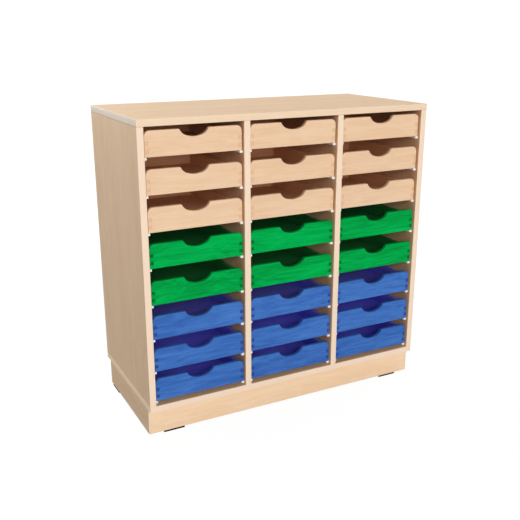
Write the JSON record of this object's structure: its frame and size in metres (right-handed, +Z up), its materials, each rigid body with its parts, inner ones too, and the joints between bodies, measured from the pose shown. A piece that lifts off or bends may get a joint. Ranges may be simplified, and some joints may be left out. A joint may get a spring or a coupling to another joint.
{
  "type": "classroom tray storage unit",
  "caption": "Open-fronted school cabinet with columns of sliding finger-jointed wooden trays on white runners, natural, green and blue, standing on a recessed plinth.",
  "frame": {"origin": "on the floor, under the middle of the unit's box", "axes": "+X to the right as seen from the front, +Y to the back, +Z up"},
  "size_m": [0.8896, 0.412, 0.8723],
  "materials": {
    "beech_board": "satin beech-faced board with pale edge bands",
    "beech_solid": "satin lacquered beech",
    "green_stain": "green stain with the grain showing, satin",
    "blue_stain": "blue stain with the grain showing, satin",
    "plinth_board": "satin beech-faced board, grain along its length",
    "back_board": "plain beech-faced hardboard",
    "pad": "matt black plastic"
  },
  "bodies": {
    "cabinet": {"bottom_panel": "beech_board", "top_panel": "beech_board", "left_side": "beech_board", "middle_divider": "beech_board", "right_divider": "beech_board", "right_side": "beech_board", "back_panel": "back_board", "plinth_frame": "plinth_board", "front_left_pad": "pad", "front_right_pad": "pad", "rear_left_pad": "pad", "rear_right_pad": "pad"},
    "left_tray_1": {"left_tray_1_front": "beech_solid", "left_tray_1_box": "beech_solid"},
    "left_tray_2": {"left_tray_2_front": "beech_solid", "left_tray_2_box": "beech_solid"},
    "left_tray_3": {"left_tray_3_front": "beech_solid", "left_tray_3_box": "beech_solid"},
    "left_tray_4": {"left_tray_4_front": "green_stain", "left_tray_4_box": "green_stain"},
    "left_tray_5": {"left_tray_5_front": "green_stain", "left_tray_5_box": "green_stain"},
    "left_tray_6": {"left_tray_6_front": "blue_stain", "left_tray_6_box": "blue_stain"},
    "left_tray_7": {"left_tray_7_front": "blue_stain", "left_tray_7_box": "blue_stain"},
    "left_tray_8": {"left_tray_8_front": "blue_stain", "left_tray_8_box": "blue_stain"},
    "middle_tray_1": {"middle_tray_1_front": "beech_solid", "middle_tray_1_box": "beech_solid"},
    "middle_tray_2": {"middle_tray_2_front": "beech_solid", "middle_tray_2_box": "beech_solid"},
    "middle_tray_3": {"middle_tray_3_front": "beech_solid", "middle_tray_3_box": "beech_solid"},
    "middle_tray_4": {"middle_tray_4_front": "green_stain", "middle_tray_4_box": "green_stain"},
    "middle_tray_5": {"middle_tray_5_front": "green_stain", "middle_tray_5_box": "green_stain"},
    "middle_tray_6": {"middle_tray_6_front": "blue_stain", "middle_tray_6_box": "blue_stain"},
    "middle_tray_7": {"middle_tray_7_front": "blue_stain", "middle_tray_7_box": "blue_stain"},
    "middle_tray_8": {"middle_tray_8_front": "blue_stain", "middle_tray_8_box": "blue_stain"},
    "right_tray_1": {"right_tray_1_front": "beech_solid", "right_tray_1_box": "beech_solid"},
    "right_tray_2": {"right_tray_2_front": "beech_solid", "right_tray_2_box": "beech_solid"},
    "right_tray_3": {"right_tray_3_front": "beech_solid", "right_tray_3_box": "beech_solid"},
    "right_tray_4": {"right_tray_4_front": "green_stain", "right_tray_4_box": "green_stain"},
    "right_tray_5": {"right_tray_5_front": "green_stain", "right_tray_5_box": "green_stain"},
    "right_tray_6": {"right_tray_6_front": "blue_stain", "right_tray_6_box": "blue_stain"},
    "right_tray_7": {"right_tray_7_front": "blue_stain", "right_tray_7_box": "blue_stain"},
    "right_tray_8": {"right_tray_8_front": "blue_stain", "right_tray_8_box": "blue_stain"}
  },
  "joints": [
    {"name": "left_tray_1_slide", "type": "slide", "parent": "cabinet", "child": "left_tray_1", "axis": [0, -1, 0], "range_m": [0, 0.28]},
    {"name": "left_tray_2_slide", "type": "slide", "parent": "cabinet", "child": "left_tray_2", "axis": [0, -1, 0], "range_m": [0, 0.28]},
    {"name": "left_tray_3_slide", "type": "slide", "parent": "cabinet", "child": "left_tray_3", "axis": [0, -1, 0], "range_m": [0, 0.28]},
    {"name": "left_tray_4_slide", "type": "slide", "parent": "cabinet", "child": "left_tray_4", "axis": [0, -1, 0], "range_m": [0, 0.28]},
    {"name": "left_tray_5_slide", "type": "slide", "parent": "cabinet", "child": "left_tray_5", "axis": [0, -1, 0], "range_m": [0, 0.28]},
    {"name": "left_tray_6_slide", "type": "slide", "parent": "cabinet", "child": "left_tray_6", "axis": [0, -1, 0], "range_m": [0, 0.28]},
    {"name": "left_tray_7_slide", "type": "slide", "parent": "cabinet", "child": "left_tray_7", "axis": [0, -1, 0], "range_m": [0, 0.28]},
    {"name": "left_tray_8_slide", "type": "slide", "parent": "cabinet", "child": "left_tray_8", "axis": [0, -1, 0], "range_m": [0, 0.28]},
    {"name": "middle_tray_1_slide", "type": "slide", "parent": "cabinet", "child": "middle_tray_1", "axis": [0, -1, 0], "range_m": [0, 0.28]},
    {"name": "middle_tray_2_slide", "type": "slide", "parent": "cabinet", "child": "middle_tray_2", "axis": [0, -1, 0], "range_m": [0, 0.28]},
    {"name": "middle_tray_3_slide", "type": "slide", "parent": "cabinet", "child": "middle_tray_3", "axis": [0, -1, 0], "range_m": [0, 0.28]},
    {"name": "middle_tray_4_slide", "type": "slide", "parent": "cabinet", "child": "middle_tray_4", "axis": [0, -1, 0], "range_m": [0, 0.28]},
    {"name": "middle_tray_5_slide", "type": "slide", "parent": "cabinet", "child": "middle_tray_5", "axis": [0, -1, 0], "range_m": [0, 0.28]},
    {"name": "middle_tray_6_slide", "type": "slide", "parent": "cabinet", "child": "middle_tray_6", "axis": [0, -1, 0], "range_m": [0, 0.28]},
    {"name": "middle_tray_7_slide", "type": "slide", "parent": "cabinet", "child": "middle_tray_7", "axis": [0, -1, 0], "range_m": [0, 0.28]},
    {"name": "middle_tray_8_slide", "type": "slide", "parent": "cabinet", "child": "middle_tray_8", "axis": [0, -1, 0], "range_m": [0, 0.28]},
    {"name": "right_tray_1_slide", "type": "slide", "parent": "cabinet", "child": "right_tray_1", "axis": [0, -1, 0], "range_m": [0, 0.28]},
    {"name": "right_tray_2_slide", "type": "slide", "parent": "cabinet", "child": "right_tray_2", "axis": [0, -1, 0], "range_m": [0, 0.28]},
    {"name": "right_tray_3_slide", "type": "slide", "parent": "cabinet", "child": "right_tray_3", "axis": [0, -1, 0], "range_m": [0, 0.28]},
    {"name": "right_tray_4_slide", "type": "slide", "parent": "cabinet", "child": "right_tray_4", "axis": [0, -1, 0], "range_m": [0, 0.28]},
    {"name": "right_tray_5_slide", "type": "slide", "parent": "cabinet", "child": "right_tray_5", "axis": [0, -1, 0], "range_m": [0, 0.28]},
    {"name": "right_tray_6_slide", "type": "slide", "parent": "cabinet", "child": "right_tray_6", "axis": [0, -1, 0], "range_m": [0, 0.28]},
    {"name": "right_tray_7_slide", "type": "slide", "parent": "cabinet", "child": "right_tray_7", "axis": [0, -1, 0], "range_m": [0, 0.28]},
    {"name": "right_tray_8_slide", "type": "slide", "parent": "cabinet", "child": "right_tray_8", "axis": [0, -1, 0], "range_m": [0, 0.28]}
  ]
}
